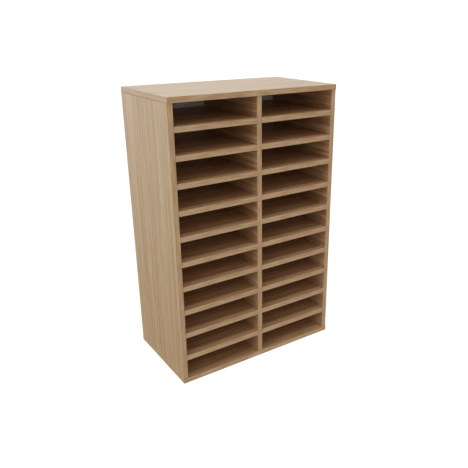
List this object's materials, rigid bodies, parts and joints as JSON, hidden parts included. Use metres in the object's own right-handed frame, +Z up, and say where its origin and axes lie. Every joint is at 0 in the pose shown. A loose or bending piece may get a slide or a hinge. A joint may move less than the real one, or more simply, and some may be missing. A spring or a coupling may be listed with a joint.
{
  "type": "pigeonhole mail sorter",
  "caption": "Upright oak-effect mail sorter: an open-fronted board cabinet with a centre divider, closely spaced fixed shelves that form flat pigeonholes, and a thin white back.",
  "frame": {"origin": "middle of the footprint, on the underside of the bottom board", "axes": "+Z up, -Y out of the open front, +X to the right seen from the front"},
  "size_m": [0.65, 0.36, 0.986],
  "materials": {
    "oak_board": "satin oak-effect melamine facing on chipboard, oak-effect edging",
    "white_back": "matt white lacquer on thin hardboard",
    "beech_dowel": "raw fluted beech",
    "screw_steel": "bright zinc-plated steel"
  },
  "bodies": {
    "root": {"top_board": "oak_board", "bottom_board": "oak_board", "left_side": "oak_board", "right_side": "oak_board", "centre_divider": "oak_board", "shelf_left_01": "oak_board", "shelf_left_02": "oak_board", "shelf_left_03": "oak_board", "shelf_left_04": "oak_board", "shelf_left_05": "oak_board", "shelf_left_06": "oak_board", "shelf_left_07": "oak_board", "shelf_left_08": "oak_board", "shelf_left_09": "oak_board", "shelf_left_10": "oak_board", "shelf_right_01": "oak_board", "shelf_right_02": "oak_board", "shelf_right_03": "oak_board", "shelf_right_04": "oak_board", "shelf_right_05": "oak_board", "shelf_right_06": "oak_board", "shelf_right_07": "oak_board", "shelf_right_08": "oak_board", "shelf_right_09": "oak_board", "shelf_right_10": "oak_board", "back_panel": "white_back", "dowel_bottom_left_1": "beech_dowel", "dowel_bottom_left_2": "beech_dowel", "dowel_bottom_left_3": "beech_dowel", "dowel_bottom_centre_1": "beech_dowel", "dowel_bottom_centre_2": "beech_dowel", "dowel_bottom_centre_3": "beech_dowel", "dowel_bottom_right_1": "beech_dowel", "dowel_bottom_right_2": "beech_dowel", "dowel_bottom_right_3": "beech_dowel", "dowel_top_left_1": "beech_dowel", "dowel_top_left_2": "beech_dowel", "dowel_top_left_3": "beech_dowel", "dowel_top_centre_1": "beech_dowel", "dowel_top_centre_2": "beech_dowel", "dowel_top_centre_3": "beech_dowel", "dowel_top_right_1": "beech_dowel", "dowel_top_right_2": "beech_dowel", "dowel_top_right_3": "beech_dowel", "back_screw_left_1": "screw_steel", "back_screw_left_2": "screw_steel", "back_screw_left_3": "screw_steel", "back_screw_left_4": "screw_steel", "back_screw_centre_1": "screw_steel", "back_screw_centre_2": "screw_steel", "back_screw_centre_3": "screw_steel", "back_screw_centre_4": "screw_steel", "back_screw_right_1": "screw_steel", "back_screw_right_2": "screw_steel", "back_screw_right_3": "screw_steel", "back_screw_right_4": "screw_steel"}
  },
  "joints": []
}
